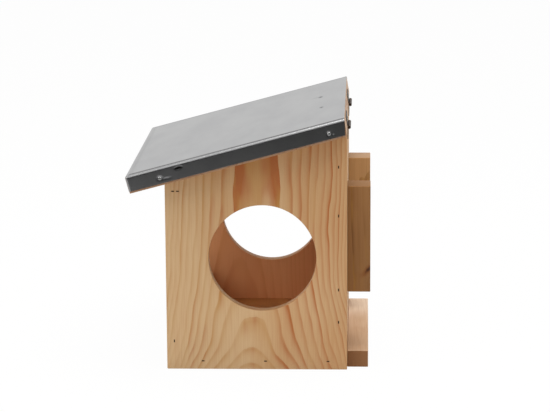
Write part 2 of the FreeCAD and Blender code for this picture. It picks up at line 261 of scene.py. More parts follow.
@dataclass(frozen=True)
class Pine(Finish):
    """Planed pine: pale earlywood that darkens through each ring to a thin reddish latewood line.

    The rings are nested tubes about a pith that lies beside the board. The distance from a point
    to the pith gives its ring, and the pith's distance changes along the board, which closes the
    rings into arches on a flat-sawn face. All lengths are millimetres.
    """

    name: str
    grain: Grain
    # Where the pith lies across the board and into it, and its depth below that along the board.
    pith: Pair
    depths: tuple[Pair, ...] = ((0.0, 30.0), (400.0, 60.0))
    lean: float = 0.0
    tilt: float = 0.0
    # Rings are narrower further out from the pith.
    ring: float = 6.0
    outer_ring: float = 4.2
    outer_from: float = 70.0
    phase: float = 0.0
    waver: float = 3.0
    ripple_share: float = 0.35
    drift: float = 2.0
    # Each board's noises start at its seed times this, so that no two boards are alike.
    seed: float = 0.0
    seed_step: Triple = (3.1, 1.7, 1.0)
    early: str = "cbaa80"
    deep: str = "c2996b"
    late: str = "935325"
    ochre: str = "a5752c"
    end_grain: str = "9a6f45"
    end_share: float = 0.6
    # Colour and share on the face that looks into the box: painted warm bounced light.
    inner_bounce_tint: str = ""
    inner_bounce_share: float = 0.6
    # How strong each latewood line is: by chance between two limits, or as given ring by ring.
    weakest: float = 0.18
    contrast: float = 0.95
    first_ring: int = 0
    strengths: tuple[float, ...] = ()
    # Boldness of a line where it fades most, and what it gains where it doesn't fade.
    fading: Pair = (0.45, 0.7)
    # What each millimetre across the board adds to redness, boldness and depth of tone, and what
    # each one along it adds to boldness, counted from a height, and to depth of tone.
    redder: float = 0.0
    bolder_up: float = 0.0
    bold_height: float = 100.0
    deeper_along: float = 0.0
    # The boldest rings are brown through most of their width, more so up the board.
    boldest: Pair = (0.92, 1.0)
    brown_from: Pair = (60.0, 180.0)
    brown_share: float = 0.55
    brown_early: Pair = (0.1, 0.33)
    swells: tuple[Swell, ...] = ()
    knot: Triple | None = None
    knot_slant: float = 45.0
    knot_reach: Triple = (7.0, 4.0, 2.2)
    knot_rag: float = 0.9
    # The rings swing this far round the knot, less and less over these shares of its reach.
    knot_swing: float = 3.2
    knot_swing_from: Pair = (0.5, 6.0)
    # The knot's tones, each with its rim in shares of the reach and its strength, which is full
    # up to the given share of that rim.
    knot_tones: tuple[tuple[str, float, float], ...] = (("7c4519", 2.6, 0.75), ("3f2009", 1.5, 0.9))
    knot_full: float = 0.4
    roughness: float = 0.62
    relief: float = 0.08
    latewood_relief: float = 0.5
    drift_noise: Noise = Noise((26.0, 26.0, 75.0), 2.0)
    waver_noise: Noise = Noise((30.0, 30.0, 120.0), 3.0)
    ripple_noise: Noise = Noise((6.0, 6.0, 40.0), 2.0)
    fade_noise: Noise = Noise((16.0, 16.0, 70.0), 2.0)
    cloud_noise: Noise = Noise((45.0, 45.0, 160.0), 2.0)
    knot_noise: Noise = Noise((3.0, 3.0, 5.0), 3.0)
    # Real fibres are too fine to show, so they are drawn as streaks of nearly a millimetre.
    fibre_noise: Noise = Noise((0.9, 0.9, 40.0), 4.0)
    # Stretches of a value over which boldness, redness, deep tone, fibres and end grain come up.
    fade_from: Pair = (0.3, 0.7)
    red_from: Pair = (0.42, 0.58)
    deep_from: Pair = (0.35, 0.68)
    fibre_from: Pair = (0.4, 0.72)
    fibre_share: float = 0.2
    end_from: Pair = (0.75, 0.95)
    # The share of latewood through one ring, from the last ring's edge on, as shades of grey.
    ring_tones: tuple[tuple[float, str], ...] = (
        (0.0, "707070"), (0.08, "202020"), (0.3, "404040"), (0.58, "989898"), (0.74, "d4d4d4"),
        (0.88, "ffffff"), (1.0, "e0e0e0"),
    )

    def _pattern(self, tree: Tree, coordinates: Node) -> dict[str, object]:
        """Adds the nodes of the wood: rings, latewood lines, colour and a fine relief.

        Args:
            tree: the material's node tree.
            coordinates: its texture coordinates.

        Returns:
            What goes into the sockets of the satin surface, by their names.
        """
        place = {"Vector": coordinates.outputs["Object"], "Rotation": (0.0, self.tilt, 0.0)}
        millimetres = add_node(tree, "Mapping", {**place, "Scale": (1 / MM,) * 3})
        axes = add_node(tree, "SeparateXYZ", [millimetres])
        board = [axes.outputs[axis] for axis in self.grain.value]
        grain = add_node(tree, "CombineXYZ", board)
        facing = add_node(tree, "SeparateXYZ", [coordinates.outputs["Normal"]])
        wood = BoardNodes(tree, millimetres, grain, facing, *board)
        distance = self._pith_distance(wood)
        for swell in self.swells:
            distance = self._swollen(wood, distance, swell)
        knot = self._knot_distance(wood) if self.knot else None
        if knot:
            swing = add_node(
                tree, "MapRange", [knot, *self.knot_swing_from, self.knot_swing, 0.0],
                interpolation_type="SMOOTHERSTEP",
            )
            distance = weighted_sum(tree, distance, (swing, 1.0))
        fade = self._noise(wood, self.fade_noise)
        fibres = self._noise(wood, self.fibre_noise)
        latewood = self._latewood(wood, distance, fade)
        relief = weighted_sum(tree, fibres, (latewood, self.latewood_relief))
        bump = {"Height": relief, "Strength": 0.35, "Distance": self.relief * MM}
        return {
            "Base Color": self._colour(wood, latewood, fibres, fade, knot),
            "Roughness": self.roughness,
            "IOR": 1.5,
            "Specular IOR Level": 0.35,
            "Normal": add_node(tree, "Bump", bump),
        }

    def _noise(self, wood: BoardNodes, noise: Noise) -> Node:
        """Adds noise that is stretched with the grain.

        Args:
            wood: the board's nodes.
            noise: its size and detail.

        Returns:
            The noise, from 0 to 1.
        """
        start = tuple(self.seed * step for step in self.seed_step)
        scale = tuple(1 / size for size in noise.size)
        place = add_node(
            wood.tree, "Mapping", {"Vector": wood.grain, "Location": start, "Scale": scale}
        )
        return add_node(
            wood.tree, "TexNoise", {"Vector": place, "Scale": 1.0, "Detail": noise.detail}
        )

    def _pith_depth(self, wood: BoardNodes) -> Source:
        """Works out how far each place lies inwards from the pith.

        A smooth curve through the depths, in shares of the deepest one, gives the pith's depth.

        Args:
            wood: the board's nodes.

        Returns:
            The depth in millimetres.
        """
        first, last = self.depths[0][0], self.depths[-1][0]
        deepest = max(depth for _, depth in self.depths)
        share = add_node(wood.tree, "MapRange", [wood.along, first, last])
        sweep = add_node(wood.tree, "FloatCurve", {"Value": share})
        points = sweep.mapping.curves[0].points
        while len(points) < len(self.depths):
            points.new(0.5, 0.5)
        for point, (place, depth) in zip(points, self.depths):
            point.location = ((place - first) / (last - first), depth / deepest)
        sweep.mapping.update()
        return weighted_sum(wood.tree, -self.pith[1], (sweep, deepest), (wood.inward, 1.0))

    def _pith_distance(self, wood: BoardNodes) -> Source:
        """Works out the distance from the pith, with the slow wander of real rings.

        It is the length of what lies across and inwards from the pith, which leans and drifts
        sideways along the board. Two noises make it waver and ripple.

        Args:
            wood: the board's nodes.

        Returns:
            The distance in millimetres.
        """
        drift = self._noise(wood, self.drift_noise)
        # The noise of the drift is 0.5 on average, which is taken off again.
        aside = weighted_sum(
            wood.tree, -self.pith[0], (wood.along, self.lean), (drift, 2 * self.drift),
            (-self.drift, 1.0), (wood.across, 1.0),
        )
        offset = add_node(wood.tree, "CombineXYZ", [aside, self._pith_depth(wood)])
        radius = add_node(wood.tree, "VectorMath", [offset], operation="LENGTH")
        return weighted_sum(
            wood.tree, radius, (self._noise(wood, self.waver_noise), 2 * self.waver),
            (self._noise(wood, self.ripple_noise), self.ripple_share * self.waver),
        )

    def _swollen(self, wood: BoardNodes, distance: Source, swell: Swell) -> Source:
        """Adds one smooth rise or hollow to the distance from the pith.

        Args:
            wood: the board's nodes.
            distance: the distance so far.
            swell: the rise or hollow, which is nothing at its reach.

        Returns:
            The new distance in millimetres.
        """
        shares = [
            weighted_sum(wood.tree, -middle / reach, (place, 1 / reach))
            for place, middle, reach in zip((wood.across, wood.along), swell.middle, swell.reach)
        ]
        offset = add_node(wood.tree, "CombineXYZ", shares)
        away = add_node(wood.tree, "VectorMath", [offset], operation="LENGTH")
        rise = add_node(
            wood.tree, "MapRange", [away, 0.0, 1.0, swell.rise, 0.0],
            interpolation_type="SMOOTHERSTEP",
        )
        return weighted_sum(wood.tree, distance, (rise, 1.0))

    def _latewood(self, wood: BoardNodes, distance: Source, fade: Source) -> Node:
        """Works out the share of latewood: it rises through a ring and ends sharply.

        The whole part of the ring count is the ring's number and gives its strength. The rest is
        the place within the ring and gives the tone, which is multiplied by the strength.

        Args:
            wood: the board's nodes.
            distance: the distance from the pith.
            fade: noise that fades the lines in patches.

        Returns:
            The share from 0 to 1.
        """
        tree = wood.tree
        beyond = weighted_sum(tree, distance, (-self.outer_from, 1.0))
        outer = add_node(tree, "Math", [beyond, 0.0], operation="MAXIMUM")
        extra = 1 / self.outer_ring - 1 / self.ring
        rings = ((distance, 1 / self.ring), (outer, extra))
        count = weighted_sum(tree, self.phase / self.ring, *rings)
        share = add_node(tree, "Math", [count], operation="FRACT")
        number = add_node(tree, "Math", [count], operation="FLOOR")
        strength = self._strength(tree, number)
        lowest = self.fading[0] - self.bold_height * self.bolder_up
        limits = (lowest, lowest + self.fading[1])
        patchy = add_node(tree, "MapRange", [fade, *self.fade_from, *limits])
        boldness = weighted_sum(
            tree, patchy, (wood.along, self.bolder_up), (wood.across, self.redder)
        )
        uneven = add_node(tree, "Math", [strength, boldness], operation="MULTIPLY")
        whole = add_node(tree, "MapRange", [strength, *self.boldest])
        browner = add_node(tree, "MapRange", [wood.along, *self.brown_from, 0.0, self.brown_share])
        later = add_node(tree, "MapRange", [share, *self.brown_early, 0.0, browner])
        brown = add_node(tree, "Math", [whole, later], operation="MULTIPLY")
        tones = add_node(tree, "ValToRGB", [share])
        set_ramp(tones, [(place, linear(tone)) for place, tone in self.ring_tones])
        return add_node(
            tree, "Math", [tones, uneven, brown], operation="MULTIPLY_ADD", use_clamp=True
        )

    def _strength(self, tree: Tree, number: Source) -> Node:
        """Gives each ring the strength of its latewood line.

        Args:
            tree: the material's node tree.
            number: the ring's number.

        Returns:
            The strength from 0 to 1.
        """
        steps = len(self.strengths)
        if not steps:
            seeded = weighted_sum(tree, number, (self.seed, 1.0))
            luck = add_node(tree, "TexWhiteNoise", [seeded], noise_dimensions="1D")
            return add_node(tree, "MapRange", [luck, 0.0, 1.0, self.weakest, self.contrast])
        first = self.first_ring - 0.5
        share = add_node(tree, "MapRange", [number, first, first + steps])
        table = add_node(tree, "ValToRGB", [share])
        table.color_ramp.interpolation = "CONSTANT"
        set_ramp(table, [(i / steps, (s, s, s, 1.0)) for i, s in enumerate(self.strengths)])
        return table

    def _colour(
        self, wood: BoardNodes, latewood: Source, fibres: Source, fade: Source, knot: Source | None
    ) -> Node:
        """Mixes the wood's colour, from the ground up.

        Earlywood has cloudy deeper parts. On it lie the latewood lines, the fibres, the dark end
        grain, a redder inner face, which is painted warm bounced light, and the dark resinous core
        of the knot in its reddish ring.

        Args:
            wood: the board's nodes.
            latewood: the share of latewood.
            fibres: the noise of the fibres.
            fade: the noise of the patches, which are redder too.
            knot: the distance from the knot, where there is one.

        Returns:
            The colour.
        """
        tree = wood.tree
        hue = weighted_sum(tree, fade, (wood.across, self.redder))
        redness = add_node(tree, "MapRange", [hue, *self.red_from])
        line = add_node(tree, "Mix", [redness, self.ochre, self.late], data_type="RGBA")
        streaks = add_node(tree, "MapRange", [fibres, *self.fibre_from, 0.0, self.fibre_share])
        end_on = wood.facing.outputs[self.grain.value[2]]
        steepness = add_node(tree, "Math", [end_on], operation="ABSOLUTE")
        is_end = add_node(tree, "MapRange", [steepness, *self.end_from, 0.0, self.end_share])
        layers = [(latewood, line), (streaks, self.late), (is_end, self.end_grain)]
        if self.inner_bounce_tint:
            # The face that looks to -Y, into the box, is painted orange: painted warm bounced
            # light.
            looks_in = [wood.facing.outputs["Y"], 0.0, -1.0, 0.0, self.inner_bounce_share]
            layers.append((add_node(tree, "MapRange", looks_in), self.inner_bounce_tint))
        for colour, rim, share in self.knot_tones if knot else ():
            within = add_node(
                tree, "MapRange", [knot, self.knot_full * rim, rim, share, 0.0],
                interpolation_type="SMOOTHSTEP",
            )
            layers.append((within, colour))
        clouds = self._noise(wood, self.cloud_noise)
        depth = weighted_sum(
            tree, clouds, (wood.across, self.redder), (wood.along, self.deeper_along)
        )
        deeper = add_node(tree, "MapRange", [depth, *self.deep_from])
        mixed = add_node(tree, "Mix", [deeper, self.early, self.deep], data_type="RGBA")
        for share, colour in layers:
            mixed = add_node(tree, "Mix", [share, mixed, colour], data_type="RGBA")
        return mixed

    def _knot_distance(self, wood: BoardNodes) -> Source:
        """Works out the distance from the slanting knot, as the length in shares of its reach.

        Args:
            wood: the board's nodes.

        Returns:
            The distance, which a noise makes ragged.
        """
        tree = wood.tree
        offset = add_node(tree, "VectorMath", [wood.millimetres, self.knot], operation="SUBTRACT")
        turn = (0.0, math.radians(self.knot_slant), 0.0)
        slanted = add_node(tree, "Mapping", {"Vector": offset, "Rotation": turn})
        per_reach = tuple(1 / reach for reach in self.knot_reach)
        shares = add_node(tree, "VectorMath", [slanted, per_reach], operation="MULTIPLY")
        away = add_node(tree, "VectorMath", [shares], operation="LENGTH")
        return weighted_sum(tree, away, (self._noise(wood, self.knot_noise), self.knot_rag))


@dataclass(frozen=True)
class SheetMetal(Finish):
    """Mill-finish zinc-coated sheet: dull grey, soft reflections, faint clouds and rub marks.

    Its grit is drawn coarser than the real one, which is too fine to show. Where the sheet's own
    attribute says, it is darker: painted dark reflection in the creases, painted shade at the
    seam, and a plain darkening in some dents.
    """

    name: str = "zinc_coated_sheet"
    colour: str = "989898"
    cloud_colour: str = "909091"
    # Colour of the darkened places: painted reflection and shade in the creases and seam, darker
    # dents.
    dark_marks_colour: str = "1c1a18"
    roughness: float = 0.3
    smoother: float = 0.004
    rougher: float = 0.01
    cloud: float = 26.0
    cloud_stretch: float = 0.4
    tone_from: Pair = (0.35, 0.65)
    gloss_from: Pair = (0.3, 0.7)
    grit: float = 0.9
    relief: float = 0.03

    def _pattern(self, tree: Tree, coordinates: Node) -> dict[str, object]:
        """Adds the nodes of clouds in tone and gloss, of the grit and of the darkened places.

        Args:
            tree: the material's node tree.
            coordinates: its texture coordinates.

        Returns:
            What goes into the sockets of the metal surface, by their names.
        """
        place = coordinates.outputs["Object"]
        size = self.cloud * MM
        scale = (1 / size, self.cloud_stretch / size, 1 / size)
        stretched = add_node(tree, "Mapping", {"Vector": place, "Scale": scale})
        clouds = add_node(tree, "TexNoise", {"Vector": stretched, "Scale": 1.0, "Detail": 5.0})
        grit = add_node(
            tree, "TexNoise", {"Vector": place, "Scale": 1 / (self.grit * MM), "Detail": 2.0}
        )
        tone = add_node(tree, "MapRange", [clouds, *self.tone_from])
        unmarked = add_node(tree, "Mix", [tone, self.colour, self.cloud_colour], data_type="RGBA")
        marks = add_node(tree, "Attribute", attribute_name=MARKS).outputs["Fac"]
        limits = (self.roughness - self.smoother, self.roughness + self.rougher)
        bump = {"Height": grit, "Strength": 0.15, "Distance": self.relief * MM}
        return {
            "Base Color": add_node(tree, "Mix", [marks, unmarked, self.dark_marks_colour], data_type="RGBA"),
            "Metallic": 1.0,
            "Roughness": add_node(tree, "MapRange", [clouds, *self.gloss_from, *limits]),
            "Normal": add_node(tree, "Bump", bump),
        }


@dataclass(frozen=True)
class Steel(Finish):
    """Small steel ware: an even metal with a mottle, drawn coarser than the real one to show."""

    name: str
    colour: str
    worn_colour: str
    metallic: float
    roughness: float
    mottle: float = 1.6
    worn_from: Pair = (0.45, 0.7)
    relief: float = 0.05

    def _pattern(self, tree: Tree, coordinates: Node) -> dict[str, object]:
        """Adds the nodes of worn spots, which are raised a little.

        Args:
            tree: the material's node tree.
            coordinates: its texture coordinates.

        Returns:
            What goes into the sockets of the metal surface, by their names.
        """
        place = coordinates.outputs["Object"]
        spots = add_node(
            tree, "TexNoise", {"Vector": place, "Scale": 1 / (self.mottle * MM), "Detail": 4.0}
        )
        worn = add_node(tree, "MapRange", [spots, *self.worn_from])
        bump = {"Height": spots, "Strength": 0.3, "Distance": self.relief * MM}
        return {
            "Base Color": add_node(
                tree, "Mix", [worn, self.colour, self.worn_colour], data_type="RGBA"
            ),
            "Metallic": self.metallic,
            "Roughness": self.roughness,
            "Normal": add_node(tree, "Bump", bump),
        }


@dataclass(frozen=True)
class ClearSheet(Finish):
    """Cast acrylic: colourless and glossy, blurred a little where dust lies on the used pane."""

    name: str = "clear_cast_acrylic"
    colour: str = "f4f8f6"
    roughness: float = 0.03
    dustier: float = 0.08
    dust: float = 9.0
    dust_from: Pair = (0.45, 0.75)

    def _pattern(self, tree: Tree, coordinates: Node) -> dict[str, object]:
        """Adds the nodes of the dust.

        Args:
            tree: the material's node tree.
            coordinates: its texture coordinates.

        Returns:
            What goes into the sockets of the clear surface, by their names.
        """
        place = coordinates.outputs["Object"]
        dust = add_node(
            tree, "TexNoise", {"Vector": place, "Scale": 1 / (self.dust * MM), "Detail": 6.0}
        )
        limits = (self.roughness, self.roughness + self.dustier)
        return {
            "Base Color": self.colour,
            "Roughness": add_node(tree, "MapRange", [dust, *self.dust_from, *limits]),
            "IOR": 1.49,
            "Transmission Weight": 1.0,
        }


# Browned sheet steel: nearly black brown, with hardly any shine.
BROWNED_STEEL = Steel("browned_steel_hinge", "2c2119", "4a3828", metallic=0.4, roughness=0.58)
# Weathered brad wire: small dark brown ends without shine. Their dark colour also stands in
# for the shade of the sunk holes that they sit in: painted shade.
BRAD_WIRE_AND_PIT_SHADE = Steel("dull_brad_wire_and_pit_shade", "3a2713", "1e150c", metallic=0.5, roughness=0.65)
# Bright zinc plating: warm silver with soft highlights.
ZINC_PLATE = Steel("bright_zinc_screw", "b9b6ac", "8f8a7c", metallic=1.0, roughness=0.3)
# Galvanised wire: pale grey, flecked darker where it is worn.
GALVANISED = Steel("galvanised_nail", "c4c4c2", "8d8e8d", metallic=1.0, roughness=0.3)


def grid_faces(rows: int, columns: int, closed_rows: bool, closed_columns: bool) -> Faces:
    """Quads of a grid whose points are numbered row by row.

    Args:
        rows: how many rows of points.
        columns: how many points in each row.
        closed_rows: whether the last row joins the first.
        closed_columns: whether each row joins up with itself.

    Returns:
        An array of four point numbers for each quad.
    """
    row = np.arange(rows if closed_rows else rows - 1)[:, None]
    column = np.arange(columns if closed_columns else columns - 1)[None, :]
    start, next_start = row * columns, (row + 1) % rows * columns
    after = (column + 1) % columns
    corners = (start + column, start + after, next_start + after, next_start + column)
    return np.stack(corners, axis=2).reshape(-1, 4)


def add_piece(
    name: str,
    points: Points,
    faces: Faces,
    material: Material,
    body: Body,
    replaced: str,
    sharp: float = 40.0,
    marks: Points | None = None,
) -> bpy.types.Object:
    """Makes a mesh piece of points and faces, and ties it to its body.

    Args:
        name: the piece's name.
        points: an array of places in metres, with any shape that ends in three.
        faces: an array of point numbers for each face.
        material: the finish.
        body: the body that the piece rides on.
        replaced: the node of the frame that the piece stands for.
        sharp: faces that meet at more degrees than this keep a sharp edge.
        marks: how much darker each place of an open skin is drawn, from 0 to 1. A closed
        piece has none.

    Returns:
        The new object.
    """
    mesh = bpy.data.meshes.new(name)
    mesh.from_pydata(points.reshape(-1, 3).tolist(), [], faces.tolist())
    if marks is not None:
        layer = mesh.attributes.new(MARKS, "FLOAT", "POINT")
        layer.data.foreach_set("value", marks.ravel().astype(np.float32))
    work = bmesh.new()
    work.from_mesh(mesh)
    bmesh.ops.remove_doubles(work, verts=work.verts, dist=TOUCHING)
    if marks is None:
        bmesh.ops.recalc_face_normals(work, faces=work.faces)
    work.to_mesh(mesh)
    work.free()
    mesh.polygons.foreach_set("use_smooth", np.ones(len(mesh.polygons), bool))
    mesh.set_sharp_from_angle(angle=math.radians(sharp))
    mesh.materials.append(material)
    piece = bpy.data.objects.new(name, mesh)
    bpy.context.scene.collection.objects.link(piece)
    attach(piece, body.value)
    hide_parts(replaced)
    LOG.info("%s: %d faces", name, len(mesh.polygons))
    return piece


def dress_node(node: str, material: Material) -> None:
    """Gives a frame node a better material in all of its slots.

    Args:
        node: the node's name.
        material: the finish.
    """
    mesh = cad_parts[node].data
    mesh.materials.clear()
    mesh.materials.append(material)
    LOG.info("%s: dressed as %s", node, material.name)


def unit(directions: Points) -> Points:
    """The same directions with a length of one."""
    return directions / np.linalg.norm(directions, axis=-1, keepdims=True)


def rounded_outline(corners: Points, ease: float) -> tuple[Points, Points]:
    """Core points and outward directions of a convex outline with eased corners.

    Each corner is drawn in by the easing radius along both of its sides. The outline is those
    core points plus the radius times directions that swing from one side's normal to the next.

    Args:
        corners: the outline's corners, anticlockwise, one (a, b) pair a row.
        ease: radius of the eased corners.

    Returns:
        Core points and unit directions, one pair a row each.
    """
    sides = unit(np.roll(corners, -1, axis=0) - corners)
    normals = np.stack([sides[:, 1], -sides[:, 0]], axis=1)
    before = np.roll(normals, 1, axis=0)
    reach = ease / (1 + np.sum(before * normals, axis=1))
    core = corners - (before + normals) * reach[:, None]
    share = np.linspace(0, 1, EASE_STEPS + 1)[None, :, None]
    swing = unit(before[:, None] * (1 - share) + normals[:, None] * share)
    return np.repeat(core, EASE_STEPS + 1, axis=0), swing.reshape(-1, 2)


def eased_box(low: Vector, high: Vector, ease: float) -> tuple[Points, Faces]:
    """Closed upright box with every edge eased.

    A point is a core corner plus the easing radius times a unit direction: the direction's
    longitude goes round the outline and its latitude goes from the low face to the high one.
    The middle of each face closes its ring.

    Args:
        low: lowest corner.
        high: highest corner.
        ease: radius of every edge.

    Returns:
        Points and faces.
    """
    corners = np.array([(low.x, low.y), (high.x, low.y), (high.x, high.y), (low.x, high.y)])
    core, direction = rounded_outline(corners, ease)
    latitude = np.linspace(0, math.pi / 2, EASE_STEPS + 1)
    latitudes = np.concatenate([-latitude[::-1], latitude])
    heights = np.repeat([low.z + ease, high.z - ease], EASE_STEPS + 1) + ease * np.sin(latitudes)
    plan = core + ease * np.cos(latitudes)[:, None, None] * direction
    heights = np.broadcast_to(heights[:, None, None], plan.shape[:2] + (1,))
    rings = np.concatenate([plan, heights], axis=2)
    middle = corners.mean(axis=0)
    bottom, top = (np.broadcast_to([*middle, z], (1,) + rings.shape[1:]) for z in (low.z, high.z))
    points = np.concatenate([bottom, rings, top])
    return points, grid_faces(*points.shape[:2], False, True)


@dataclass(frozen=True)
class CrossRecess:
    """Cross recess of a screw's head: its depth, and the rest in shares of the head's radius.

    Both slots fall off over a slope, from full depth at a half-width or length less that slope.
    """

    depth: float = 1.0 * MM
    half_width: float = 0.24
    width_slope: float = 0.1
    length: float = 0.72
    length_slope: float = 0.14
    head_height: float = 0.2

    def lowering(self, radius: Points, height: Points, angle: Points) -> Points:
        """How much lower each place lies, by how far it is inside two crossing slots.

        Args:
            radius: distances from the axis, one a row.
            height: heights along the axis.
            angle: angles round the axis.

        Returns:
            Lengths to take off the heights.
        """
        head = radius.max()
        narrow = np.minimum(np.abs(radius * np.cos(angle)), np.abs(radius * np.sin(angle)))
        slot = np.clip((self.half_width * head - narrow) / (self.width_slope * head), 0, 1)
        inside = np.clip((self.length * head - radius) / (self.length_slope * head), 0, 1)
        return self.depth * slot * inside * (height > -self.head_height * head)


def turned_group(
    profile: Points, seats: Points, axes: Points, recess: CrossRecess | None = None
) -> tuple[Points, Faces]:
    """Several equal turned shapes in one mesh, such as a row of nails or screws.

    A place is the seat plus the height times the axis plus the radius times the direction round
    the axis.

    Args:
        profile: radius and height pairs, from one end of the shape to the other.
        seats: the point on each axis at height zero.
        axes: unit direction of each axis, with nothing along Z.
        recess: a cross recess that lowers the head.

    Returns:
        Points and faces.
    """
    angle = np.linspace(0, 2 * math.pi, TURNED_SIDES, endpoint=False)
    first = np.cross([0.0, 0.0, 1.0], axes)
    second = np.cross(axes, first)
    round_axis = np.cos(angle)[:, None] * first[:, None] + np.sin(angle)[:, None] * second[:, None]
    radius = profile[:, :1]
    height = np.repeat(profile[:, 1:], TURNED_SIDES, axis=1)
    if recess:
        height = height - recess.lowering(radius, height, angle)
    along = height[..., None] * axes[:, None, None]
    points = seats[:, None, None] + along + radius[..., None] * round_axis[:, None]
    one = grid_faces(len(profile), TURNED_SIDES, False, True)
    shift = np.arange(len(seats))[:, None, None] * len(profile) * TURNED_SIDES
    return points, (one[None] + shift).reshape(-1, 4)


def tipped(points: Points, angle: float) -> Points:
    """Turns places about the Y axis.

    By the roof's pitch, X and Z become the distance up the lid's slope and the height off it.
    By the pitch with a minus sign, those become X and Z again.

    Args:
        points: places, with any shape that ends in three.
        angle: the angle in radians.

    Returns:
        The turned places.
    """
    cosine, sine = math.cos(angle), math.sin(angle)
    turned = points.copy()
    turned[..., 0] = points[..., 0] * cosine + points[..., 2] * sine
    turned[..., 2] = points[..., 2] * cosine - points[..., 0] * sine
    return turned


@dataclass
class SideWalls:
    """The two side walls: boards with a sloping top and a large round hole."""

    hole_centre: Pair = (6.0 * MM, 114.0 * MM)
    hole_radius: float = 53.5 * MM
    outer_ease: float = 0.8 * MM
    inner_ease: float = 0.32 * MM
    rim_ease: float = 0.5 * MM
    edge_points: int = 36

    def build(self) -> None:
        """Builds and dresses both walls."""
        # Close rings, whose lines get redder towards the back and bolder up the wall.
        near_pine = Pine(
            "planed_pine_right_wall", Grain.SIDE_UPRIGHT, (-6.9, -118.0), lean=-0.0435,
            depths=(
                (0.0, 115.8), (21.3, 119.45), (37.3, 120.65), (47.3, 121.2), (75.0, 123.3),
                (121.0, 125.2), (195.0, 126.0), (240.0, 126.3),
            ),
            ring=2.95, outer_ring=2.3, outer_from=146.0, phase=-1.9, waver=0.9, drift=5.0,
            first_ring=37,
            strengths=(
                0.3, 0.85, 0.9, 0.9, 0.7, 1.0, 0.7, 0.6, 0.8, 0.5, 0.35, 0.75, 0.4, 0.6, 0.3,
            ),
            swells=(
                Swell((12.5, 162.0), (11.0, 46.0), -1.1),
                Swell((95.0, 0.0), (85.0, 130.0), -6.0),
                Swell((-6.0, 0.0), (28.0, 50.0), -1.2),
            ),
            late="a8622f", ochre="b07e3e", redder=0.0022, bolder_up=0.0016, seed=4.0,
        )
        # Wider rings in a warmer pine. Its face that shows through the hole is painted orange:
        # painted warm bounced light from the wood inside.
        far_pine = Pine(
            "planed_pine_left_wall", Grain.SIDE_UPRIGHT, (-30.0, 140.0),
            depths=((0.0, 70.0), (120.0, 82.0), (240.0, 96.0)), phase=1.6, seed=17.0,
            early="deb284", deep="cc986e", inner_bounce_tint="f4a066",
        )
        for side, outward, finish in (("right", -1, near_pine), ("left", 1, far_pine)):
            node = "side_wall_" + side
            points, faces = self._wall(*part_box(node), outward)
            add_piece("pine_" + node, points, faces, finish.build(), Body.BOX, node)

    def _wall(self, low: Vector, high: Vector, outward: int) -> tuple[Points, Faces]:
        """Closed ring of profiles round the hole.

        The first parameter goes round a closed profile: from the outer face over the eased edge
        to the inner face, back to the hole and through its bore, whose rims are quarter-rounds.
        The second goes round the board's outline.

        Args:
            low: lowest corner of the wall's node.
            high: highest corner.
            outward: the sign of Y on the wall's outer face.

        Returns:
            Points and faces.
        """
        front_height = high.z - (high.x - low.x) * math.tan(ROOF_PITCH)
        corners = [(low.x, low.z), (high.x, low.z), (high.x, high.z), (low.x, front_height)]
        core, direction = self._outline(np.array(corners))
        rise = np.linspace(0, math.pi / 2, EASE_STEPS + 1)
        fall = rise[::-1]
        rounding = self.outer_ease * np.cos(fall)
        inner_rounding = self.outer_ease - self.inner_ease * (1 - np.cos(rise))
        reach = np.concatenate([rounding, inner_rounding])
        centre = np.array(self.hole_centre)
        spoke = unit(core + self.outer_ease * direction - centre)
        radius = self.hole_radius + self.rim_ease * (1 - np.cos(np.concatenate([fall, rise])))
        plan = np.concatenate([
            core + reach[:, None, None] * direction, centre + radius[:, None, None] * spoke
        ])
        thickness = high.y - low.y
        depth = np.concatenate([
            self.outer_ease * (1 - np.sin(fall)),
            thickness - self.inner_ease * (1 - np.sin(rise)),
            thickness - self.rim_ease * (1 - np.sin(fall)),
            self.rim_ease * (1 - np.sin(rise)),
        ])
        y = (low.y if outward < 0 else high.y) - outward * depth
        y = np.broadcast_to(y[:, None], plan.shape[:2])
        return np.stack([plan[..., 0], y, plan[..., 1]], axis=2), grid_faces(*y.shape, True, True)

    def _outline(self, corners: Points) -> tuple[Points, Points]:
        """Eased outline with evenly spaced points along its sides, so that the hole is round.

        Args:
            corners: the outline's corners, anticlockwise.

        Returns:
            Core points and unit directions, one pair a row each.
        """
        core, direction = (a.reshape(4, -1, 2) for a in rounded_outline(corners, self.outer_ease))
        share = np.linspace(0, 1, self.edge_points + 2)[1:-1, None]
        runs = core[:, -1:] * (1 - share) + np.roll(core[:, :1], -1, axis=0) * share
        run_directions = np.broadcast_to(direction[:, -1:], runs.shape)
        core = np.concatenate([core, runs], axis=1)
        direction = np.concatenate([direction, run_directions], axis=1)
        return core.reshape(-1, 2), direction.reshape(-1, 2)


@dataclass
class BoxBoards:
    """Floor, back wall and the two front boards, with the pane between them."""

    front_depths: tuple[Pair, ...] = ((-120.0, 24.0), (0.0, 34.0), (120.0, 52.0))
    back_depths: tuple[Pair, ...] = ((0.0, 30.0), (100.0, 44.0), (250.0, 60.0))

    def build(self) -> None:
        """Dresses the boards between the side walls and the pane."""
        # The floor is a deeper, browner pine. The other boards are the plain pale one.
        floor = Pine(
            "planed_pine_floor", Grain.LEVEL, (10.0, -40.0), lean=0.03, seed=21.0,
            early="bd8248", deep="ac6f38",
        )
        back = Pine(
            "planed_pine_back", Grain.BACK_UPRIGHT, (-34.0, 90.0), self.back_depths, seed=31.0
        )
        front = Pine(
            "planed_pine_front", Grain.ON_EDGE, (26.0, -90.0), self.front_depths, seed=41.0
        )
        rail = Pine(
            "planed_pine_rail", Grain.ON_EDGE, (170.0, -90.0), self.front_depths, seed=51.0
        )
        dress_node("floor_board", floor.build())
        dress_node("back_wall", back.build())
        dress_node("front_lower_board", front.build())
        dress_node("front_top_rail", rail.build())
        dress_node("front_pane", ClearSheet().build())
        # The pane casts no shadow and bounced light passes it, as daylight does.
        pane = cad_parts["front_pane"]
        pane.visible_shadow = pane.visible_diffuse = False


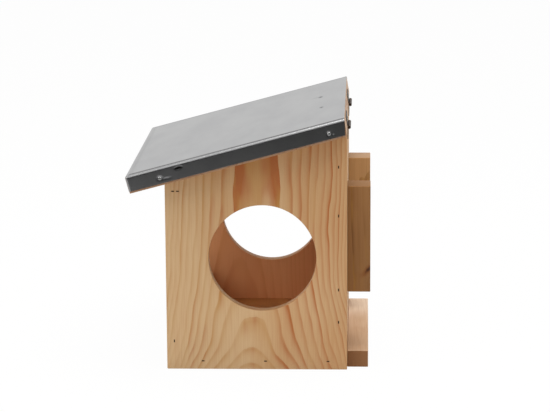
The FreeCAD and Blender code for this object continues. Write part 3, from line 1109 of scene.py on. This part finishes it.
@dataclass
class Battens:
    """Three sawn battens on the back: two uprights and one across the foot."""

    ease: float = 0.8 * MM
    end_share: float = 0.85
    roughness: float = 0.75

    def build(self) -> None:
        """Builds and dresses the battens."""
        # Sawn pine is rougher than planed pine, with darker end grain. The uprights are brown. The
        # right upright and its end grain are darker than the left one's: painted shade.
        sawn = {"end_share": self.end_share, "roughness": self.roughness}
        for side, seed, early, deep, end_grain, knot in (
            ("right", 61.0, "9b6f42", "8c6136", "7a5630", (112.0, -93.0, 98.0)),
            ("left", 71.0, "b48959", "a47a4c", "9c7f63", None),
        ):
            upright = Pine(
                "sawn_pine_upright_" + side, Grain.SIDE_UPRIGHT, (120.0, -60.0),
                depths=((70.0, 22.0), (190.0, 30.0)), seed=seed, early=early, deep=deep,
                late="70481f", end_grain=end_grain, knot=knot, **sawn,
            )
            self._batten("upright_batten_" + side, upright)
        # The cross batten is pale, most of all at its left end, and almost without lines.
        cross = Pine(
            "sawn_pine_cross", Grain.ON_EDGE, (30.0, 80.0), depths=((-120.0, 30.0), (120.0, 44.0)),
            seed=81.0, early="e4ccb2", deep="bd9c7c", weakest=0.04, contrast=0.2,
            deeper_along=-0.003, end_grain="7c4b1c", **sawn,
        )
        self._batten("cross_batten", cross)

    def _batten(self, node: str, finish: Pine) -> None:
        """Builds one batten with eased edges in its node's place.

        Args:
            node: the batten's node.
            finish: its wood.
        """
        points, faces = eased_box(*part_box(node), self.ease)
        add_piece("pine_" + node, points, faces, finish.build(), Body.BOX, node)


@dataclass(frozen=True)
class Dent:
    """Shallow mark in the sheet.

    The middle is measured over the flat sheet in millimetres: forward from the rear edge and
    sideways from the middle line. The reach is the dent's half-size in the same two directions.
    """

    middle: Pair
    reach: Pair
    depth: float
    # How much darker the dent is drawn, from 0 up.
    darkening: float = 0.0


@dataclass
class Lid:
    """Lid board under folded sheet metal, with the nails through the sheet's flanges."""

    sheet_thickness: float = 0.7 * MM
    bend: float = 2.6 * MM
    bend_steps: int = 8
    flange: float = 15.8 * MM
    # The rear end of a flange is cut back by this at its foot, in a slant over this length.
    rear_trim: float = 3.0 * MM
    rear_trim_length: float = 20.0 * MM
    corner_gap: float = 0.4 * MM
    # Spacing of the grid on the plain top, on the flanges and beside the folds.
    top_spacing: float = 2.4 * MM
    flange_spacing: float = 0.7 * MM
    fine_spacing: float = 0.45 * MM
    cut_edge: float = 0.06 * MM
    line_points: int = 4001
    # A dent is drawn in so many steps from its middle to its rim, and somewhat beyond the rim.
    dent_steps: float = 4.5
    dent_margin: float = 1.3
    # Beside the right fold runs a pressed crease. Beside the left and front ones it is faint.
    crease_inset: float = 3.2 * MM
    crease_reach: float = 3.2 * MM
    crease_margin: float = 1.5
    crease_depth: float = 0.55 * MM
    # How dark the crease is drawn: painted dark reflection along the fold.
    crease_painted_reflection: float = 1.2
    left_crease: float = 0.2
    front_crease: float = 0.12
    # How dark the front flange's ends at the corner gaps are drawn: painted shade.
    seam_painted_shade: float = 0.85
    # Side flanges wander by the product of two waves, each of so many millimetres a radian.
    wander: float = 0.12 * MM
    wander_waves: Pair = (17.0, 7.3)
    wander_slant: float = 0.7
    wander_shift: float = 1.0
    # Places of the nails in millimetres, from the top, the rear edge and the middle line.
    nail_drop: float = 10.5
    rear_nail: float = 17.8
    front_nail: float = 188.6
    front_flange_nail: float = 101.0
    dish_reach: float = 3.6
    dish_depth: float = 0.42
    # Radius and height of a nail in millimetres, from its point over its shank to its flat head.
    nail_profile: tuple[Pair, ...] = (
        (0.0, -13.4), (0.8, -10.9), (0.8, -0.4), (1.68, -0.4), (1.7, -0.05), (1.62, 0.25),
        (1.4, 0.45), (1.1, 0.56), (0.8, 0.55), (0.0, 0.5),
    )

    def __post_init__(self) -> None:
        """Reads the folded sheet's extent in slope coordinates off its node."""
        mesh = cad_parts["roof_sheet"].data
        places = np.empty(len(mesh.vertices) * 3)
        mesh.vertices.foreach_get("co", places)
        corners = tipped(places.reshape(-1, 3), ROOF_PITCH)
        self.low = corners.min(axis=0)
        self.high = corners.max(axis=0)
        self.arc = self.bend * math.pi / 2
        self.drop = self.flange - self.bend
        self.flat_width = self.high[1] - self.bend
        self.flat_length = self.high[0] - self.low[0] - self.bend
        self.dents = self._dents()

    def build(self) -> None:
        """Builds and dresses the board, its sheet and the nails through the sheet."""
        # Planed pine that is greyer than the walls, with its fibres level across the slope.
        finish = Pine(
            "planed_pine_lid", Grain.LEVEL, (20.0, 260.0), depths=((-150.0, 40.0), (150.0, 60.0)),
            tilt=ROOF_PITCH, seed=91.0, early="c0a48a", deep="ae8d70", late="8a5c38",
            end_grain="8a5d3a",
        )
        dress_node("roof_board", finish.build())
        self._sheet()
        self._nails()

    def _dents(self) -> list[Dent]:
        """Dishes round the nails, scuffs at two of them, a hammer mark and two marks at the rear.

        Returns:
            The dents.
        """
        over_side = (self.flat_width + self.arc - self.bend) / MM
        over_front = (self.flat_length + self.arc - self.bend) / MM
        nail_side = over_side + self.nail_drop
        places = (
            (self.rear_nail, nail_side), (self.front_nail, nail_side),
            (over_front + self.nail_drop, self.front_flange_nail),
        )
        nails = [(ahead, sign * aside) for ahead, aside in places for sign in (-1, 1)]
        return [Dent(nail, (self.dish_reach,) * 2, self.dish_depth) for nail in nails] + [
            Dent((self.front_nail - 6.5, -nail_side - 1.8), (6.0, 1.8), 0.2),
            Dent((self.rear_nail - 4.5, -nail_side - 2.0), (2.6, 1.3), 0.2),
            Dent((168.2, -over_side - 5.0), (5.2, 2.2), 0.6, darkening=1.3),
            Dent((27.0, 37.2), (3.0, 6.0), 0.3, darkening=1.15),
            Dent((32.5, 39.0), (6.0, 5.0), 0.12, darkening=0.15),
            Dent((24.7, -32.5), (2.6, 5.0), 0.28, darkening=1.1),
        ]

    def _sheet(self) -> None:
        """Builds the sheet as one skin folded over three edges, and gives it its thickness.

        Grid places are distances over the flat sheet. Past a fold line the place first turns
        about the bend's own centre and then runs straight down. Where both folds meet the skin
        is a piece of a sphere, and the square of the corner below it is left out.
        """
        half = self._places(self.flat_width, 1)
        sideways = np.concatenate([-half[:0:-1], half])
        side, ahead = np.meshgrid(sideways, self._places(self.flat_length, 0))
        past_side = np.maximum(np.abs(side) - self.flat_width, 0)
        past_front = np.maximum(ahead - self.flat_length, 0)
        alpha = np.minimum(past_front, self.arc) / self.bend
        beta = np.minimum(past_side, self.arc) / self.bend
        normal = unit(np.stack([
            -np.sin(alpha), np.sign(side) * np.sin(beta), np.cos(alpha) * np.cos(beta)
        ], axis=2))
        below = np.maximum(past_front - self.arc, 0) + np.maximum(past_side - self.arc, 0)
        centre = np.stack([
            self.high[0] - np.minimum(ahead, self.flat_length),
            np.clip(side, -self.flat_width, self.flat_width),
            np.full_like(side, self.high[2] - self.bend),
        ], axis=2)
        points = centre + self.bend * normal
        points[..., 2] -= below
        slant = np.clip(below / self.drop, 0, 1) * np.clip(1 - ahead / self.rear_trim_length, 0, 1)
        points[..., 0] -= slant * self.rear_trim
        pressed, marks = self._pressed_in(side, ahead)
        points -= normal * pressed[..., None]
        faces = grid_faces(*side.shape, False, False)
        cut_out = (past_front > self.arc + TOUCHING) & (past_side > self.arc - self.corner_gap / 2)
        faces = faces[~cut_out.ravel()[faces].any(axis=1)]
        sheet = add_piece(
            "folded_sheet", tipped(points, -ROOF_PITCH), faces, SheetMetal().build(), Body.LID,
            "roof_sheet", sharp=60.0, marks=marks,
        )
        wall = sheet.modifiers.new("thickness", "SOLIDIFY")
        wall.thickness = self.sheet_thickness
        wall.offset = -1.0

    def _nails(self) -> None:
        """Builds the nails through the flanges, each turned, with a rounded rim on its head."""
        rear = self.high[0] - self.rear_nail * MM
        front = self.high[0] - self.front_nail * MM
        height = self.high[2] - self.nail_drop * MM
        places = (
            (rear, self.high[1]), (front, self.high[1]),
            (self.low[0], self.front_flange_nail * MM),
        )
        seats = [(along, sign * aside, height) for along, aside in places for sign in (-1, 1)]
        axes = [(0, -1, 0), (0, 1, 0)] * 2 + [(-1, 0, 0)] * 2
        profile = np.array(self.nail_profile) * MM
        points, faces = turned_group(profile, np.array(seats), np.array(axes, float))
        add_piece(
            "galvanised_flange_nails", tipped(points, -ROOF_PITCH), faces, GALVANISED.build(),
            Body.LID, "flange_nails",
        )

    def _places(self, flat: float, direction: int) -> Points:
        """Places along a line over the flat sheet, round its bend and down its flange.

        They lie wide apart where the sheet is plain and close together near a dent or the fold.
        The number of steps up to a place is the integral of one over the local spacing, and the
        places are where that number is whole. One more place lies close to each cut edge.

        Args:
            flat: length of the line up to the bend.
            direction: 0 for a line forward and 1 for one sideways.

        Returns:
            The places, from 0 to the flange's foot.
        """
        line = np.linspace(0, flat, self.line_points)
        gap = np.full_like(line, self.top_spacing)
        for dent in self.dents:
            middle, reach = abs(dent.middle[direction]) * MM, dent.reach[direction] * MM
            near = np.abs(line - middle) < self.dent_margin * reach
            gap = np.where(near, reach / self.dent_steps, gap)
        crease = self.crease_inset + self.crease_margin * self.crease_reach
        gap = np.where(line > flat - crease, self.fine_spacing, gap)
        steps = np.concatenate([[0.0], np.cumsum(np.diff(line) / gap[1:])])
        top = np.interp(np.linspace(0, steps[-1], math.ceil(steps[-1]) + 1), steps, line)
        bend = flat + np.linspace(0, self.arc, self.bend_steps + 1)[1:]
        down = np.linspace(0, self.drop, round(self.drop / self.flange_spacing))[1:]
        down = np.insert(down, -1, self.drop - self.cut_edge)
        return np.concatenate([np.insert(top, 1, self.cut_edge), bend, flat + self.arc + down])

    def _pressed_in(self, side: Points, ahead: Points) -> tuple[Points, Points]:
        """How far each place is pushed in, and how much darker it is drawn.

        A dent is a bell (1 - d^2)^2 of the distance d in shares of its reach. A pressed crease
        runs beside each fold, with the profile (1 + cos) / 2, and is darkened there as painted dark
        reflection. The front flange's ends at the corner gaps are darkened as painted shade. Side
        flanges also wander a little.

        Args:
            side: distance over the flat sheet from its middle line.
            ahead: distance over the flat sheet from its rear edge.

        Returns:
            Depths in metres and marks from 0 to 1.
        """
        depth = np.zeros(side.shape)
        marks = np.zeros(side.shape)
        for dent in self.dents:
            forward = (ahead / MM - dent.middle[0]) / dent.reach[0]
            sideways = (side / MM - dent.middle[1]) / dent.reach[1]
            inside = np.clip(1 - forward**2 - sideways**2, 0, 1)
            depth = np.maximum(depth, dent.depth * MM * inside**2)
            marks = np.maximum(marks, dent.darkening * inside)
        past_side = np.abs(side) - self.flat_width
        past_front = ahead - self.flat_length
        for past, other, strength in (
            (past_side, past_front, np.where(side < 0, 1.0, self.left_crease)),
            (past_front, past_side, self.front_crease),
        ):
            away = np.clip((past + self.crease_inset) / self.crease_reach, -1, 1)
            ends = np.clip(-other / self.crease_inset, 0, 1)
            hollow = strength * ends * (1 + np.cos(math.pi * away)) / 2
            depth += self.crease_depth * hollow
            # The crease's darkening is painted dark reflection.
            marks = np.maximum(marks, self.crease_painted_reflection * hollow)
        # The front flange's ends at the corner gaps are darkened as painted shade.
        seam = (past_front > self.arc) & (np.abs(past_side) < self.corner_gap)
        marks = np.maximum(marks, self.seam_painted_shade * seam)
        along = (ahead + self.wander_slant * side) / MM
        long_wave, short_wave = self.wander_waves
        waves = np.sin(along / long_wave) * np.sin(along / short_wave + self.wander_shift)
        hang = np.clip((past_side - self.arc) / self.drop, 0, 1)
        return depth + self.wander * hang * (0.5 + 0.5 * waves), np.minimum(marks, 1.0)


@dataclass
class Ironwork:
    """Hinges with their screws, and the brads. Sizes and places of the screws are millimetres."""

    screw_places: tuple[float, ...] = (-81.0, -59.0, 59.0, 81.0)
    box_screw: Pair = (90.7, 232.88)
    lid_screw: Pair = (150.72, 216.0)
    # The flat of a head has close rings, which the cross recess needs.
    head_flat: float = 2.05
    head_ring: float = 0.12
    # Radius and height over the rim of the head, its cone, the shank and the point.
    shank: tuple[Pair, ...] = (
        (2.12, -0.03), (2.19, -0.12), (2.18, -0.22), (1.2, -1.3), (1.15, -8.8), (0.0, -10.9),
    )

    def build(self) -> None:
        """Builds the screws and dresses the hinges and brads."""
        hinge, brad, screw = BROWNED_STEEL.build(), BRAD_WIRE_AND_PIT_SHADE.build(), ZINC_PLATE.build()
        for side in ("right", "left"):
            for part in ("box_leaf", "lid_leaf", "pin"):
                dress_node(f"hinge_{side}_{part}", hinge)
        for node in ("back_wall_brads", "floor_brads", "front_brads", "batten_brads"):
            dress_node(node, brad)
        head = [(radius, 0.0) for radius in np.arange(0.0, self.head_flat, self.head_ring)]
        profile = np.array(head + list(self.shank)) * MM
        for node, place, body in (
            ("box_leaf_screws", self.box_screw, Body.BOX),
            ("lid_leaf_screws", self.lid_screw, Body.LID),
        ):
            seats = np.array([(place[0], y, place[1]) for y in self.screw_places]) * MM
            axes = np.tile([1.0, 0.0, 0.0], (len(seats), 1))
            points, faces = turned_group(profile, seats, axes, CrossRecess())
            if body is Body.LID:
                points = tipped(points, -ROOF_PITCH)
            add_piece("zinc_" + node, points, faces, screw, body, node)


@dataclass(frozen=True)
class Studio:
    """White table, soft light from the upper left, and the camera of the photograph."""

    camera_place: Triple = (0.10695, -2.28607, 0.61889)
    look_down: float = 11.766
    turn_left: float = 2.326
    roll: float = -0.329
    focal_pixels: float = 2250.0
    picture_width: float = 550.0
    film_width: float = 36.0
    sight: float = 100.0
    daylight: float = 0.5
    table_size: float = 12.0
    # How far the table is plain white: for bounced light, and for what is seen.
    table_white: Pair = (0.3, 0.97)
    lamp_target: Triple = (0.0, 0.0, 0.12)
    card_place: Triple = (0.0, -0.95, 0.27)
    card_size: Pair = (5.0, 0.8)
    card_lift: float = -48.0

    def build(self) -> None:
        """Builds the camera, the floor, the world and the lamps."""
        self._camera()
        self._floor()
        self._world()
        self._lamp("key_softbox", (-1.5, -1.1, 1.25), size=1.1, power=12.5)
        self._lamp("top_softbox", (0.3, -0.1, 1.9), size=1.5, power=37.0)
        self._black_card()
        bpy.context.scene.view_settings.view_transform = "Standard"

    def _camera(self) -> None:
        """Sets up the camera at the place and angles of the photograph."""
        data = bpy.data.cameras.new("camera")
        data.sensor_width = self.film_width
        data.lens = self.focal_pixels / self.picture_width * self.film_width
        data.clip_end = self.sight
        down, turn, roll = (math.radians(a) for a in (self.look_down, -self.turn_left, self.roll))
        ahead, aside = math.cos(turn), math.sin(turn)
        forward = Vector((aside * math.cos(down), ahead * math.cos(down), -math.sin(down)))
        level_right = Vector((ahead, -aside, 0.0))
        level_up = level_right.cross(forward)
        right = math.cos(roll) * level_right + math.sin(roll) * level_up
        up = -math.sin(roll) * level_right + math.cos(roll) * level_up
        turned = Matrix((right, up, -forward)).transposed()
        camera = bpy.data.objects.new("camera", data)
        camera.matrix_world = Matrix.Translation(self.camera_place) @ turned.to_4x4()
        bpy.context.scene.collection.objects.link(camera)
        bpy.context.scene.camera = camera

    def _seen_directly(self, tree: Tree) -> Source:
        """Finds rays from the camera and those that metal and glass send on.

        Args:
            tree: the node tree of a material or the world.

        Returns:
            1 for those rays and 0 for all others.
        """
        path = add_node(tree, "LightPath")
        seen = path.outputs["Is Camera Ray"]
        for ray in ("Is Glossy Ray", "Is Transmission Ray"):
            seen = add_node(tree, "Math", [seen, path.outputs[ray]], operation="MAXIMUM")
        return seen

    def _floor(self) -> None:
        """Lays a pale table that looks white and keeps a trace of the object's shadow."""
        material, tree = new_material("white_table")
        shaded = add_node(tree, "BsdfDiffuse", {"Color": "e2e0dd"})
        white = add_node(tree, "Emission", {"Color": WHITE, "Strength": 1.0})
        seen = self._seen_directly(tree)
        share = add_node(tree, "MapRange", [seen, 0.0, 1.0, *self.table_white])
        both = add_node(tree, "MixShader", [share, shaded, white])
        add_node(tree, "OutputMaterial", {"Surface": both})
        self._plane("floor", (0.0, 0.0, CAD_BOX[0][2]), (self.table_size,) * 2, 0.0, material)

    def _black_card(self) -> None:
        """Stands a dark card before the table, which only the metal sees, as in a studio."""
        material, tree = new_material("black_card")
        shader = add_node(tree, "BsdfDiffuse", {"Color": "050505"})
        add_node(tree, "OutputMaterial", {"Surface": shader})
        lift = math.radians(self.card_lift)
        card = self._plane("black_card", self.card_place, self.card_size, lift, material)
        for ray in ("camera", "diffuse", "shadow", "transmission"):
            setattr(card, "visible_" + ray, False)

    def _plane(
        self, name: str, middle: Triple, size: Pair, lift: float, material: Material
    ) -> bpy.types.Object:
        """Adds a flat stage piece.

        Args:
            name: its name.
            middle: its middle.
            size: its length and its width.
            lift: the angle that it is turned about X, in radians.
            material: its finish.

        Returns:
            The new object.
        """
        x, y = size[0] / 2, size[1] / 2
        mesh = bpy.data.meshes.new(name)
        mesh.from_pydata([(-x, -y, 0), (x, -y, 0), (x, y, 0), (-x, y, 0)], [], [(0, 1, 2, 3)])
        mesh.materials.append(material)
        plane = bpy.data.objects.new(name, mesh)
        plane.location = middle
        plane.rotation_euler = (lift, 0.0, 0.0)
        bpy.context.scene.collection.objects.link(plane)
        return plane

    def _world(self) -> None:
        """Fills the room with even soft daylight, seen as white."""
        world = bpy.data.worlds.new("white_room")
        world.use_nodes = True
        tree = world.node_tree
        tree.nodes.clear()
        seen = self._seen_directly(tree)
        strength = add_node(tree, "MapRange", [seen, 0.0, 1.0, self.daylight, 1.0])
        light = add_node(tree, "Background", {"Color": WHITE, "Strength": strength})
        add_node(tree, "OutputWorld", {"Surface": light})
        bpy.context.scene.world = world

    def _lamp(self, name: str, place: Triple, size: float, power: float) -> None:
        """Adds a square softbox that looks at the object.

        Args:
            name: its name.
            place: its middle.
            size: length of its sides.
            power: its power in watts.
        """
        data = bpy.data.lights.new(name, "AREA")
        data.size = size
        data.energy = power
        lamp = bpy.data.objects.new(name, data)
        lamp.location = place
        aim = Vector(self.lamp_target) - Vector(place)
        lamp.rotation_euler = aim.to_track_quat("-Z", "Y").to_euler()
        bpy.context.scene.collection.objects.link(lamp)


def main() -> None:
    """Builds the studio and every sub-assembly of the feeder, in order."""
    logging.basicConfig(level=logging.INFO, format="%(name)s: %(message)s")
    for part in (Studio(), SideWalls(), BoxBoards(), Battens(), Lid(), Ironwork()):
        part.build()
        LOG.info("%s done", type(part).__name__)


if __name__ == "__main__":
    main()
